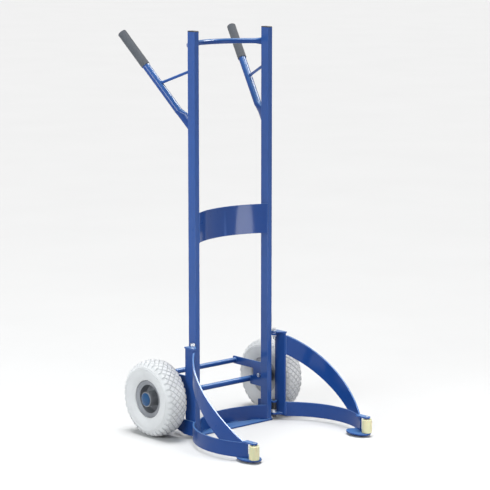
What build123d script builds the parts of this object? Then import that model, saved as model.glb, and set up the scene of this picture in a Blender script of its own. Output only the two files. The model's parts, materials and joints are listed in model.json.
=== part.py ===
from build123d import *
import os
from math import asin, cos, degrees, radians, sin, sqrt

# Tyre trolley: an upright steel truck with two sprung gripping arms that end in rollers.
# Millimetres. +Z is up, -Y is the load side, and the origin is on the floor, midway between
# the uprights, below their front faces. Paired pieces are drawn on the right, +X, and mirrored.

# Uprights and their end caps
upright_spacing = 325.0
upright_width = 20.0
upright_depth = 35.0
upright_wall = 1.5
upright_inner_corner = 0.5
upright_top = 1352.0
cap_thickness = 3.0
cap_plug_depth = 12.0
cap_plug_clearance = 0.2
cap_edge = 1.0

# Cross members: toe plate, lower bow, back plate and top bow
toe_thickness = 5.0
toe_overhang = 7.0
toe_ledge = 5.0
toe_corner = 3.0
lower_bow_depth = 50.0
lower_bow_height = 50.0
lower_bow_thickness = 5.0
back_plate_depth = 44.0
back_plate_height = 100.0
back_plate_thickness = 4.0
back_plate_drop = 596.0
top_bow_depth = 89.0
top_bow_diameter = 18.0
top_bow_wall = 2.0
top_bow_press_height = 25.0
top_bow_press_width = 13.0
top_bow_press_length = 26.0
top_bow_drop = 47.0

# Handles, grips and braces
handle_diameter = 25.0
handle_wall = 2.0
handle_reach = 400.0
handle_foot_drop = 311.0
handle_rise = 48.3
handle_splay = 17.6
handle_flat_height = 34.0
handle_flat_width = 13.0
handle_flat_length = 38.0
handle_taper_length = 27.0
grip_wall = 2.5
grip_length = 142.0
grip_end_wall = 4.0
grip_edge = 4.0
grip_lip_edge = 1.0
grip_clearance = 0.1
brace_diameter = 9.5
brace_reach = 180.0
brace_foot_drop = 130.0

# Side brackets, foot bar and axle
bracket_thickness = 5.0
bracket_rise = 67.0
bracket_arm_height = 27.0
bracket_arm_length = 153.0
bracket_lobe_width = 15.7
bracket_corner = 4.0
saddle_depth = 5.0
saddle_upper_wall = 3.0
saddle_lower_wall = 8.0
weld_gap = 0.1
foot_bar_diameter = 18.0
foot_bar_setback = 12.0
axle_diameter = 20.0
axle_setback = 67.7
axle_end_chamfer = 1.5
axle_end_land = 1.8
bracket_bolt_diameter = 8.0
bracket_bolt_setback = 15.0
bracket_bolt_rise = 21.0
bracket_bolt_tail = 3.2
bolt_hole_clearance = 0.2

# Wheels
tyre_gap = 13.7
tyre_diameter = 260.0
tyre_width = 85.0
tyre_crown = 7.0
tyre_shoulder_width = 66.0
tyre_lugs = 36
lug_slot_width = 7.0
lug_slot_start = 28.0
lug_slot_reach = 23.0
tyre_fit = 0.1
rim_width = 65.0
rim_seat_diameter = 101.6
rim_flange_diameter = 125.6
rim_wall = 3.0
rim_dish = 5.5
rim_web_offset = -6.0
rim_web_thickness = 4.0
rim_edge = 1.0
hub_diameter = 50.0
hub_wall = 4.0
hub_inboard = 38.0
hub_outboard = 41.0
hub_recess = 5.0
bearing_width = 12.0
bearing_fit = 0.02
running_clearance = 0.05
axial_play = 0.3
hub_cap_diameter = 44.0
hub_cap_wall = 2.2
hub_cap_rim = 1.5
hub_cap_face = 2.6
hub_cap_end_gap = 2.2
hub_cap_shallow = 0.6
axle_washer_diameter = 32.0
axle_washer_thickness = 2.5
ring_thickness = 1.2
ring_diameter = 27.0
ring_gap = 9.0
ring_groove_depth = 0.7
ring_groove_play = 0.1

# Arm hinges
hinge_y = 0.6
ear_wall = 6.0
ear_clearance = 0.6
ear_thickness = 6.0
ear_weld_length = 27.0
upper_ear_height = 298.0
lower_ear_height = 60.0
upper_bolt_diameter = 8.0
upper_bolt_tail = 10.0
lower_bolt_diameter = 10.0
lower_bolt_tail = 4.0
hex_flats_ratio = 1.63
hex_head_ratio = 0.72
hex_nut_ratio = 0.8
washer_thickness = 1.6
washers_under_head = 2
washer_stack_gap = 0.1
washer_diameter_ratio = 2.0
flange_thickness = 2.5
flange_lip = 0.6

# Arm: post, ears, lower bar and upper strip
post_offset = 16.0
post_thickness = 6.0
post_front = 36.6
post_back = 13.4
arm_ear_thickness = 5.0
arm_ear_overhang = 4.0
bottom_ear_height = 18.0
bottom_ear_width = 40.0
bar_thickness = 6.0
bar_height = 50.0
bar_bottom = 13.0
bar_bend = 5.0
arm_bow_radius = 247.5
arm_bow_start = 49.0
arm_bow_end = -32.4
tail_angle = 15.0
tail_length = 75.0
tail_drop = 7.0
strip_below_ear = 8.9
strip_depth_at_post = 66.0
strip_top_bulge = 7.9
strip_toe_run = 303.0
strip_toe_rise = 3.0
strip_under_run = 220.0
strip_under_bulge = 1.6

# Arm tip: roller, tab, support plate, pin and foot
roller_diameter = 33.5
roller_top_gap = 3.7
roller_reach = 29.0
roller_edge = 3.0
tab_thickness = 5.0
tab_width = 22.0
tab_length = 54.0
support_thickness = 5.0
support_length = 98.0
support_width = 66.0
support_inset = 7.0
support_overlap = 16.0
roller_pin_diameter = 8.0
foot_pin_diameter = 7.0
foot_pin_setback = 16.7
foot_pin_offset = 3.1
foot_pad_diameter = 12.0
foot_pad_height = 3.0

# Torsion springs of the arms
spring_wire = 2.8
spring_turns = 5.5
spring_bolt_gap = 1.0
spring_end_gap = 0.4
spring_leg = 10.0
gap_samples = 400

# Derived places
upright_x = upright_spacing / 2
inner_face = upright_x - upright_width / 2
outer_face = upright_x + upright_width / 2
upright_corner = upright_wall + upright_inner_corner
back_plane = Plane(origin=(0, upright_depth, 0), z_dir=(0, 1, 0))
back_plate_bottom = upright_top - back_plate_drop - back_plate_height
top_bow_z = upright_top - top_bow_drop
handle_foot_z = upright_top - handle_foot_drop
brace_foot_z = upright_top - brace_foot_drop
grip_radius = handle_diameter / 2 + grip_wall
axle_radius = axle_diameter / 2
axle_y = upright_depth + axle_setback
axle_z = tyre_diameter / 2
hub_radius = hub_diameter / 2
hub_bore = hub_radius - hub_wall
bearing_outboard = hub_outboard - hub_recess
bracket_inner = upright_x - bracket_thickness / 2
bracket_outer = upright_x + bracket_thickness / 2
bracket_top = axle_z + bracket_rise
bracket_bottom = axle_z - axle_radius - saddle_lower_wall
bracket_arm_bottom = bracket_top - bracket_arm_height
bracket_arm_end = upright_depth + bracket_arm_length
bracket_lobe_top = axle_z + axle_radius + saddle_upper_wall
bracket_lobe_end = axle_y - saddle_depth
bracket_waist = bracket_lobe_end - bracket_lobe_width
bracket_bolt_y = upright_depth + bracket_bolt_setback
bracket_bolt_z = axle_z + bracket_bolt_rise
ear_radius = lower_bolt_diameter / 2 + ear_wall
hinge_x = outer_face + ear_radius + ear_clearance
post_inner = hinge_x + post_offset
post_outer = post_inner + post_thickness
wheel_x = post_outer + tyre_gap + tyre_width / 2
post_front_y = hinge_y - post_front
post_back_y = hinge_y + post_back
upper_ear_top = upper_ear_height + ear_thickness
arm_ear_bottom = upper_ear_top + washer_thickness + axial_play
arm_ear_top = arm_ear_bottom + arm_ear_thickness
strip_top_at_post = arm_ear_bottom - strip_below_ear
bar_top = bar_bottom + bar_height
arm_bow_inside = arm_bow_radius - bar_thickness / 2
arm_bow_outside = arm_bow_radius + bar_thickness / 2
arm_bow_x = post_outer - arm_bow_inside * cos(radians(arm_bow_start))
arm_bow_y = post_front_y - arm_bow_inside * sin(radians(arm_bow_start))
tip_x = arm_bow_x + arm_bow_radius * cos(radians(arm_bow_end))
tip_y = arm_bow_y + arm_bow_radius * sin(radians(arm_bow_end))
roller_y = tip_y - roller_reach
roller_height = bar_height - axial_play - roller_top_gap

os.makedirs("parts", exist_ok=True)


def write(piece, name):
    """Label a finished piece and write it as its own file."""
    piece.part.label = name
    export_step(piece.part, f"parts/{name}.step")


def write_pair(right, name):
    """Write a right-hand piece and its mirror image on the left."""
    write(right, f"right_{name}")
    with BuildPart() as left:
        mirror(right.part, about=Plane.YZ)
    write(left, f"left_{name}")


def side_plane(x, y=0.0, z=0.0):
    """A plane across the trolley: its own x runs along Y and its own y along Z."""
    return Plane(origin=(x, y, z), x_dir=(0, 1, 0), z_dir=(1, 0, 0))


def hex_radius(diameter):
    """Corner radius of the hexagon that goes with a bolt of this diameter."""
    return diameter * hex_flats_ratio / 2 / cos(radians(30))


def bow_radius(chord, depth):
    """Radius of an arc that spans a chord and bows by a depth."""
    return (chord**2 / 4 + depth**2) / (2 * depth)


def bowed_strip(depth, thickness, bottom, height):
    """A flat bar on edge, bowed backwards between the uprights' inner faces."""
    chord = 2 * inner_face
    radius = bow_radius(chord, depth)
    with BuildPart() as strip:
        with BuildSketch(Plane.XY.offset(bottom)):
            with Locations((0, depth - radius)):
                Circle(radius + thickness)
                Circle(radius, mode=Mode.SUBTRACT)
            Rectangle(chord, depth + thickness, align=(Align.CENTER, Align.MIN), mode=Mode.INTERSECT)
        extrude(amount=height)
    return strip


# Uprights: rounded rectangular tubes that stand on the toe plate
with BuildPart() as upright:
    with BuildSketch(Plane.XY.offset(toe_thickness)):
        with Locations((upright_x, upright_depth / 2)):
            RectangleRounded(upright_width, upright_depth, upright_corner)
            RectangleRounded(upright_width - 2 * upright_wall, upright_depth - 2 * upright_wall,
                             upright_inner_corner, mode=Mode.SUBTRACT)
    extrude(amount=upright_top - toe_thickness)
write_pair(upright, "upright")

# End caps: a plug inside each tube and a thin lid over its end
with BuildPart() as upright_end_caps:
    with BuildSketch(Plane.XY.offset(upright_top)):
        with Locations((upright_x, upright_depth / 2)):
            RectangleRounded(upright_width, upright_depth, upright_corner)
    extrude(amount=cap_thickness)
    chamfer(upright_end_caps.faces().sort_by(Axis.Z)[-1].edges(), cap_edge)
    with BuildSketch(Plane.XY.offset(upright_top)):
        with Locations((upright_x, upright_depth / 2)):
            plug_wall = upright_wall + cap_plug_clearance
            RectangleRounded(upright_width - 2 * plug_wall, upright_depth - 2 * plug_wall,
                             upright_inner_corner)
    extrude(amount=-cap_plug_depth)
    mirror(about=Plane.YZ)
write(upright_end_caps, "upright_end_caps")

# Toe plate: straight in front, bowed behind, under both uprights
toe_back = lower_bow_depth + lower_bow_thickness + toe_ledge
with BuildPart() as toe_plate:
    with BuildSketch():
        with BuildLine():
            Polyline((-outer_face, upright_depth), (-outer_face, -toe_overhang),
                     (outer_face, -toe_overhang), (outer_face, upright_depth))
            ThreePointArc((outer_face, upright_depth), (0, toe_back), (-outer_face, upright_depth))
        make_face()
    extrude(amount=toe_thickness)
    fillet(toe_plate.edges().filter_by(Axis.Z), toe_corner)
write(toe_plate, "toe_plate")

# Lower bow and back plate: the cradle that a round load leans into
lower_bow = bowed_strip(lower_bow_depth, lower_bow_thickness, toe_thickness, lower_bow_height)
write(lower_bow, "lower_bow")
back_plate = bowed_strip(back_plate_depth, back_plate_thickness, back_plate_bottom, back_plate_height)
write(back_plate, "back_plate")

# Top bow: a bent tube whose ends are pressed flat where they meet the uprights' back faces
top_bow_radius = bow_radius(upright_spacing, top_bow_depth)
top_bow_half_angle = degrees(asin(upright_x / top_bow_radius) - top_bow_press_length / top_bow_radius)
top_bow_plane = Plane(origin=(0, upright_depth + top_bow_depth - top_bow_radius, top_bow_z))
top_bow_foot = Plane(origin=(upright_x, upright_depth, top_bow_z), x_dir=(0, 0, 1), z_dir=(0, 1, 0))


def top_bow_form(inset):
    """The top bow's form with its surface moved inwards."""
    with BuildPart() as form:
        with BuildLine(top_bow_plane) as path:
            CenterArc((0, 0), top_bow_radius, 90 - top_bow_half_angle, top_bow_half_angle)
        arc_start = Plane(origin=path.line @ 0, x_dir=(0, 0, 1), z_dir=path.line % 0)
        with BuildSketch(arc_start):
            Circle(top_bow_diameter / 2 - inset)
        sweep(path=path.line)
        with BuildSketch(top_bow_foot):
            Ellipse(top_bow_press_height / 2 - inset, top_bow_press_width / 2 - inset)
        with BuildSketch(arc_start):
            Circle(top_bow_diameter / 2 - inset)
        loft()
        mirror(about=Plane.YZ)
    return form


with BuildPart() as top_bow_tube:
    add(top_bow_form(0))
    add(top_bow_form(top_bow_wall), mode=Mode.SUBTRACT)
write(top_bow_tube, "top_bow_tube")

# Handles: tubes that rise backwards and outwards, with feet pressed flat to fit the uprights' back faces
handle_run = cos(radians(handle_rise))
handle_direction = Vector(handle_run * sin(radians(handle_splay)), handle_run * cos(radians(handle_splay)),
                          sin(radians(handle_rise)))
handle_foot = Vector(upright_x, upright_depth, handle_foot_z)
handle_broad = Vector(0, 0, 1) - handle_direction * handle_direction.Z
handle_plane = Plane(origin=handle_foot, x_dir=handle_broad, z_dir=handle_direction)
handle_length = handle_reach - grip_end_wall
handle_lead = 2 * handle_flat_height
handle_round_start = handle_flat_length + handle_taper_length
flat_rise = (handle_flat_height - handle_diameter) / 2


def handle_form(inset):
    """A handle's form with its surface moved inwards: a flat foot, a taper and a round tube."""
    with BuildPart() as form:
        with BuildSketch(handle_plane.offset(-handle_lead)):
            with Locations((flat_rise, 0)):
                Ellipse(handle_flat_height / 2 - inset, handle_flat_width / 2 - inset)
        extrude(amount=handle_lead + handle_flat_length)
        with BuildSketch(handle_plane.offset(handle_flat_length)):
            with Locations((flat_rise, 0)):
                Ellipse(handle_flat_height / 2 - inset, handle_flat_width / 2 - inset)
        with BuildSketch(handle_plane.offset(handle_round_start)):
            Circle(handle_diameter / 2 - inset)
        loft()
        with BuildSketch(handle_plane.offset(handle_round_start)):
            Circle(handle_diameter / 2 - inset)
        extrude(amount=handle_length - handle_round_start)
        split(bisect_by=back_plane, keep=Keep.TOP)
    return form


with BuildPart() as handle:
    add(handle_form(0))
    add(handle_form(handle_wall), mode=Mode.SUBTRACT)
write_pair(handle, "handle")

# Grips: round-ended foam sleeves pushed over the handles
with BuildPart() as grip:
    with BuildSketch(handle_plane.offset(handle_reach - grip_length)):
        Circle(grip_radius)
    extrude(amount=grip_length)
    fillet(grip.edges().filter_by(GeomType.CIRCLE).sort_by(Axis.Z)[0], grip_lip_edge)
    fillet(grip.edges().filter_by(GeomType.CIRCLE).sort_by(Axis.Z)[-1], grip_edge)
    with BuildSketch(handle_plane.offset(handle_reach - grip_length)):
        Circle(handle_diameter / 2 + grip_clearance)
    extrude(amount=grip_length - grip_end_wall, mode=Mode.SUBTRACT)
write_pair(grip, "grip")

# Braces: rods from the uprights' back faces to the handles
brace_foot = Vector(upright_x, upright_depth, brace_foot_z)
brace_head = handle_foot + handle_direction * brace_reach
brace_span = brace_head - brace_foot
brace_plane = Plane(origin=brace_foot, z_dir=brace_span)
with BuildPart() as handle_brace:
    with BuildSketch(brace_plane.offset(-brace_diameter)):
        Circle(brace_diameter / 2)
    extrude(amount=brace_span.length + brace_diameter)
    split(bisect_by=back_plane, keep=Keep.TOP)
    with BuildSketch(handle_plane):
        Circle(handle_diameter / 2)
    extrude(amount=handle_length, mode=Mode.SUBTRACT)
write_pair(handle_brace, "handle_brace")

# Side brackets: plates welded edge-on behind the uprights, with a saddle for the axle
with BuildPart() as side_bracket:
    with BuildSketch(side_plane(bracket_inner)):
        with BuildLine():
            Polyline((upright_depth, bracket_bottom), (bracket_lobe_end, bracket_bottom),
                     (bracket_lobe_end, bracket_lobe_top), (bracket_waist, bracket_lobe_top),
                     (bracket_waist, bracket_arm_bottom), (bracket_arm_end, bracket_arm_bottom),
                     (bracket_arm_end, bracket_top), (upright_depth, bracket_top), close=True)
        bracket_outline = make_face()
        free_corners = bracket_outline.vertices().filter_by(lambda v: v.X > upright_depth + bracket_corner)
        fillet(free_corners, bracket_corner)
        with Locations((axle_y, axle_z)):
            Circle(axle_radius + weld_gap, mode=Mode.SUBTRACT)
        with Locations((bracket_bolt_y, bracket_bolt_z)):
            Circle(bracket_bolt_diameter / 2 + bolt_hole_clearance, mode=Mode.SUBTRACT)
    extrude(amount=bracket_thickness)
write_pair(side_bracket, "side_bracket")

# Bracket bolts and nuts
bolt_head = hex_head_ratio * bracket_bolt_diameter
nut_height = hex_nut_ratio * bracket_bolt_diameter
with BuildPart() as bracket_bolts:
    with BuildSketch(side_plane(bracket_inner, bracket_bolt_y, bracket_bolt_z)):
        RegularPolygon(hex_radius(bracket_bolt_diameter), 6)
    extrude(amount=-bolt_head)
    with BuildSketch(side_plane(bracket_inner, bracket_bolt_y, bracket_bolt_z)):
        Circle(bracket_bolt_diameter / 2)
    extrude(amount=bracket_thickness + nut_height + bracket_bolt_tail)
    mirror(about=Plane.YZ)
write(bracket_bolts, "bracket_bolts")

with BuildPart() as bracket_nuts:
    with BuildSketch(side_plane(bracket_outer, bracket_bolt_y, bracket_bolt_z)):
        RegularPolygon(hex_radius(bracket_bolt_diameter), 6)
        Circle(bracket_bolt_diameter / 2 + running_clearance, mode=Mode.SUBTRACT)
    extrude(amount=nut_height)
    mirror(about=Plane.YZ)
write(bracket_nuts, "bracket_nuts")

# Foot bar between the brackets' upper arms
foot_bar_z = bracket_top - bracket_arm_height / 2
with BuildPart() as foot_bar:
    with BuildSketch(side_plane(-bracket_inner, bracket_arm_end - foot_bar_setback, foot_bar_z)):
        Circle(foot_bar_diameter / 2)
    extrude(amount=2 * bracket_inner)
write(foot_bar, "foot_bar")

# Axle with a groove for a retaining ring at each side of both hubs
washer_outboard = wheel_x + bearing_outboard + axial_play
washer_inboard = wheel_x - hub_inboard - axial_play - axle_washer_thickness
ring_outboard = washer_outboard + axle_washer_thickness + ring_groove_play
ring_inboard = washer_inboard - ring_thickness - ring_groove_play
axle_half_length = ring_outboard + ring_thickness + ring_groove_play + axle_end_land
groove_radius = axle_radius - ring_groove_depth
with BuildPart() as axle:
    with BuildSketch(side_plane(-axle_half_length, axle_y, axle_z)):
        Circle(axle_radius)
    extrude(amount=2 * axle_half_length)
    chamfer(axle.edges().filter_by(GeomType.CIRCLE), axle_end_chamfer)
    for ring_x in (ring_outboard, ring_inboard):
        for groove_x in (ring_x, -ring_x - ring_thickness):
            with BuildSketch(side_plane(groove_x - ring_groove_play, axle_y, axle_z)):
                Circle(axle_diameter)
                Circle(groove_radius, mode=Mode.SUBTRACT)
            extrude(amount=ring_thickness + 2 * ring_groove_play, mode=Mode.SUBTRACT)
write(axle, "axle")

with BuildPart() as axle_washers:
    for washer_x in (washer_outboard, washer_inboard):
        with BuildSketch(side_plane(washer_x, axle_y, axle_z)):
            Circle(axle_washer_diameter / 2)
            Circle(axle_radius + running_clearance, mode=Mode.SUBTRACT)
        extrude(amount=axle_washer_thickness)
    mirror(about=Plane.YZ)
write(axle_washers, "axle_washers")

with BuildPart() as axle_retaining_rings:
    for ring_x in (ring_outboard, ring_inboard):
        with BuildSketch(side_plane(ring_x, axle_y, axle_z)):
            Circle(ring_diameter / 2)
            Circle(groove_radius + running_clearance, mode=Mode.SUBTRACT)
            Rectangle(ring_gap, ring_diameter, align=(Align.CENTER, Align.MAX), mode=Mode.SUBTRACT)
        extrude(amount=ring_thickness)
    mirror(about=Plane.YZ)
write(axle_retaining_rings, "axle_retaining_rings")

# Wheels: each is turned about the axle from a profile of width against radius
wheel_plane = Plane(origin=(wheel_x, axle_y, axle_z), x_dir=(1, 0, 0), z_dir=(0, -1, 0))
wheel_axis = Axis((wheel_x, axle_y, axle_z), (1, 0, 0))
tyre_radius = tyre_diameter / 2
rim_flange_radius = rim_flange_diameter / 2
rim_seat_radius = rim_seat_diameter / 2
bead = rim_width / 2 - rim_wall - tyre_fit
bead_foot = bead - rim_dish
lip = rim_width / 2 + rim_edge
lip_radius = rim_flange_radius + rim_edge
shoulder = tyre_shoulder_width / 2
shoulder_radius = tyre_radius - tyre_crown
side_radius = (lip_radius + shoulder_radius) / 2
with BuildPart() as tyre:
    with BuildSketch(wheel_plane):
        with BuildLine():
            Polyline((-lip, lip_radius), (-bead, lip_radius), (-bead_foot, rim_seat_radius + tyre_fit),
                     (bead_foot, rim_seat_radius + tyre_fit), (bead, lip_radius), (lip, lip_radius))
            ThreePointArc((lip, lip_radius), (tyre_width / 2, side_radius), (shoulder, shoulder_radius))
            ThreePointArc((shoulder, shoulder_radius), (0, tyre_radius), (-shoulder, shoulder_radius))
            ThreePointArc((-shoulder, shoulder_radius), (-tyre_width / 2, side_radius), (-lip, lip_radius))
        make_face()
    revolve(axis=wheel_axis)

# Lugs: slots over both shoulders of the tyre, the first of them half a lug round from the top
tread_radius = bow_radius(tyre_shoulder_width, tyre_crown)
slot_start_radius = tyre_radius - tread_radius + sqrt(tread_radius**2 - lug_slot_start**2)
lug_pitch = 360 / tyre_lugs
with BuildPart() as lug_slots:
    with BuildSketch(wheel_plane):
        with BuildLine():
            Polyline((lug_slot_start, slot_start_radius), (tyre_width / 2, tyre_radius - lug_slot_reach),
                     (tyre_width / 2, tyre_radius), close=True)
        make_face()
    extrude(amount=lug_slot_width / 2, both=True)
    mirror(about=Plane(origin=wheel_plane.origin, z_dir=wheel_axis.direction))
with tyre:
    add([lug_slots.part.rotate(wheel_axis, lug_pitch / 2 + lug * lug_pitch) for lug in range(tyre_lugs)],
        mode=Mode.SUBTRACT)
write_pair(tyre, "tyre")

# Rims: dished flanges and a barrel, with a web that carries the hub sleeve
rim_lip = rim_width / 2
rim_foot = rim_lip - rim_dish
rim_barrel = rim_seat_radius - rim_wall
with BuildPart() as rim:
    with BuildSketch(wheel_plane):
        with BuildLine():
            Polyline((-rim_foot, rim_barrel), (-rim_lip, rim_flange_radius),
                     (rim_wall - rim_lip, rim_flange_radius), (rim_wall - rim_foot, rim_seat_radius),
                     (rim_foot - rim_wall, rim_seat_radius), (rim_lip - rim_wall, rim_flange_radius),
                     (rim_lip, rim_flange_radius), (rim_foot, rim_barrel), close=True)
        make_face()
        with Locations((rim_web_offset, hub_bore)):
            Rectangle(rim_web_thickness, rim_seat_radius - hub_bore - rim_wall / 2,
                      align=(Align.CENTER, Align.MIN))
        with Locations((-hub_inboard, hub_bore)):
            Rectangle(hub_inboard + hub_outboard, hub_wall, align=(Align.MIN, Align.MIN))
    revolve(axis=wheel_axis)
    fillet(rim.edges().filter_by(GeomType.CIRCLE).filter_by(
        lambda e: abs(e.radius - rim_flange_radius) < rim_edge), rim_edge)
write_pair(rim, "rim")

with BuildPart() as wheel_bearings:
    for bearing_start in (-hub_inboard, bearing_outboard - bearing_width):
        with BuildSketch(side_plane(wheel_x + bearing_start, axle_y, axle_z)):
            Circle(hub_bore - bearing_fit)
            Circle(axle_radius + running_clearance, mode=Mode.SUBTRACT)
        extrude(amount=bearing_width)
write_pair(wheel_bearings, "wheel_bearings")

# Hub caps: domed covers plugged into the hubs' outer ends
plug_radius = hub_bore - tyre_fit
plug_inside = plug_radius - hub_cap_wall
plug_start = washer_outboard - wheel_x + axial_play
cap_radius = hub_cap_diameter / 2
cap_seat = hub_outboard + tyre_fit
cap_shoulder = cap_seat + hub_cap_rim
cap_hollow = axle_half_length - wheel_x + hub_cap_end_gap
cap_crown = cap_hollow + hub_cap_face
dome_radius = bow_radius(hub_cap_diameter, cap_crown - cap_shoulder)
with BuildPart() as hub_cap:
    with BuildSketch(wheel_plane):
        with BuildLine():
            Polyline((cap_crown, 0), (cap_hollow, 0), (cap_hollow, hub_cap_shallow * plug_inside),
                     (cap_seat, plug_inside), (plug_start, plug_inside), (plug_start, plug_radius),
                     (cap_seat, plug_radius), (cap_seat, cap_radius), (cap_shoulder, cap_radius))
            RadiusArc((cap_shoulder, cap_radius), (cap_crown, 0), dome_radius)
        make_face()
    revolve(axis=wheel_axis)
write_pair(hub_cap, "hub_cap")

# Hinge ears of the uprights, with holes for the two hinge bolts of an arm
ear_bolts = ((upper_ear_height, upper_bolt_diameter), (lower_ear_height, lower_bolt_diameter))
with BuildPart() as hinge_ears:
    for ear_z, bolt_diameter in ear_bolts:
        with BuildSketch(Plane.XY.offset(ear_z)):
            with Locations((hinge_x, hinge_y)):
                Circle(ear_radius)
            with Locations((outer_face, upright_corner)):
                Rectangle(upright_wall, ear_weld_length, align=(Align.MIN, Align.MIN))
            make_hull()
            with Locations((hinge_x, hinge_y)):
                Circle(bolt_diameter / 2 + running_clearance, mode=Mode.SUBTRACT)
        extrude(amount=ear_thickness)
write_pair(hinge_ears, "hinge_ears")

# Upper hinge bolts: head over the arm's ear, nut under the upright's ear
upper_nut_height = hex_nut_ratio * upper_bolt_diameter
washer_step = washer_thickness + washer_stack_gap
upper_head_bottom = arm_ear_top + axial_play + washers_under_head * washer_step
upper_bolt_bottom = upper_ear_height - upper_nut_height - upper_bolt_tail
with BuildPart() as upper_hinge_bolts:
    with BuildSketch(Plane.XY.offset(upper_head_bottom)):
        with Locations((hinge_x, hinge_y)):
            RegularPolygon(hex_radius(upper_bolt_diameter), 6)
    extrude(amount=hex_head_ratio * upper_bolt_diameter)
    with BuildSketch(Plane.XY.offset(upper_bolt_bottom)):
        with Locations((hinge_x, hinge_y)):
            Circle(upper_bolt_diameter / 2)
    extrude(amount=upper_head_bottom - upper_bolt_bottom)
    mirror(about=Plane.YZ)
write(upper_hinge_bolts, "upper_hinge_bolts")

with BuildPart() as upper_hinge_nuts:
    with BuildSketch(Plane.XY.offset(upper_ear_height)):
        with Locations((hinge_x, hinge_y)):
            RegularPolygon(hex_radius(upper_bolt_diameter), 6)
            Circle(upper_bolt_diameter / 2 + running_clearance, mode=Mode.SUBTRACT)
    extrude(amount=-upper_nut_height)
    mirror(about=Plane.YZ)
write(upper_hinge_nuts, "upper_hinge_nuts")

with BuildPart() as upper_hinge_washers:
    washer_heights = [upper_ear_top]
    for place in range(washers_under_head):
        washer_heights.append(upper_head_bottom - (place + 1) * washer_step)
    for washer_z in washer_heights:
        with BuildSketch(Plane.XY.offset(washer_z)):
            with Locations((hinge_x, hinge_y)):
                Circle(upper_bolt_diameter * washer_diameter_ratio / 2)
                Circle(upper_bolt_diameter / 2 + running_clearance, mode=Mode.SUBTRACT)
        extrude(amount=washer_thickness)
    mirror(about=Plane.YZ)
write(upper_hinge_washers, "upper_hinge_washers")

# Arm post: an upright flat bar beside the hinge
with BuildPart() as arm_post:
    with BuildSketch(Plane.XY.offset(bottom_ear_height)):
        with Locations((post_inner, post_front_y)):
            Rectangle(post_thickness, post_front + post_back, align=(Align.MIN, Align.MIN))
    extrude(amount=arm_ear_bottom - bottom_ear_height)
write_pair(arm_post, "arm_post")

# Arm ears: the top one covers the post's end, the bottom one meets its inner face
with BuildPart() as arm_top_ear:
    with BuildSketch(Plane.XY.offset(arm_ear_bottom)):
        with Locations((hinge_x, hinge_y)):
            Circle(ear_radius)
        with Locations((post_inner, post_front_y)):
            Rectangle(post_thickness + arm_ear_overhang, post_front + post_back, align=(Align.MIN, Align.MIN))
        make_hull()
        with Locations((hinge_x, hinge_y)):
            Circle(upper_bolt_diameter / 2 + running_clearance, mode=Mode.SUBTRACT)
    extrude(amount=arm_ear_thickness)
write_pair(arm_top_ear, "arm_top_ear")

with BuildPart() as arm_bottom_ear:
    with BuildSketch(Plane.XY.offset(bottom_ear_height)):
        with Locations((hinge_x, hinge_y)):
            Circle(ear_radius)
        with Locations((post_inner, post_back_y)):
            Rectangle(post_thickness / 2, bottom_ear_width, align=(Align.MAX, Align.MAX))
        make_hull()
        with Locations((hinge_x, hinge_y)):
            Circle(lower_bolt_diameter / 2 + running_clearance, mode=Mode.SUBTRACT)
    extrude(amount=ear_thickness)
write_pair(arm_bottom_ear, "arm_bottom_ear")

# Lower hinge bolts: fixed in the arm's bottom ear, turning in the upright's lower ear
bottom_ear_top = bottom_ear_height + ear_thickness
lower_nut_height = hex_nut_ratio * lower_bolt_diameter
lower_bolt_top = lower_ear_height + ear_thickness + lower_bolt_tail
flange_radius = hex_radius(lower_bolt_diameter) + flange_lip
with BuildPart() as lower_hinge_bolt:
    with BuildSketch(Plane.XY.offset(bottom_ear_height)):
        with Locations((hinge_x, hinge_y)):
            Circle(flange_radius)
    extrude(amount=-flange_thickness)
    with BuildSketch(Plane.XY.offset(bottom_ear_height - flange_thickness)):
        with Locations((hinge_x, hinge_y)):
            RegularPolygon(hex_radius(lower_bolt_diameter), 6)
    extrude(amount=-hex_head_ratio * lower_bolt_diameter)
    with BuildSketch(Plane.XY.offset(bottom_ear_height)):
        with Locations((hinge_x, hinge_y)):
            Circle(lower_bolt_diameter / 2)
    extrude(amount=lower_bolt_top - bottom_ear_height)
write_pair(lower_hinge_bolt, "lower_hinge_bolt")

lower_nut_top = bottom_ear_top + flange_thickness + lower_nut_height
with BuildPart() as lower_hinge_nut:
    with BuildSketch(Plane.XY.offset(bottom_ear_top)):
        with Locations((hinge_x, hinge_y)):
            Circle(flange_radius)
            Circle(lower_bolt_diameter / 2 + running_clearance, mode=Mode.SUBTRACT)
    extrude(amount=flange_thickness)
    with BuildSketch(Plane.XY.offset(bottom_ear_top + flange_thickness)):
        with Locations((hinge_x, hinge_y)):
            RegularPolygon(hex_radius(lower_bolt_diameter), 6)
            Circle(lower_bolt_diameter / 2 + running_clearance, mode=Mode.SUBTRACT)
    extrude(amount=lower_nut_height)
write_pair(lower_hinge_nut, "lower_hinge_nut")

# Lower bar: one flat bar from the tail, along the post's outer face and round to the tip
bar_outer = post_outer + bar_thickness
bend_y = arm_bow_y + sqrt(arm_bow_outside**2 - (bar_outer - arm_bow_x) ** 2)
tail_step_x = -tail_length * sin(radians(tail_angle))
tail_step_y = tail_length * cos(radians(tail_angle))
tail_end_y = post_back_y + tail_step_y


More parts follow.
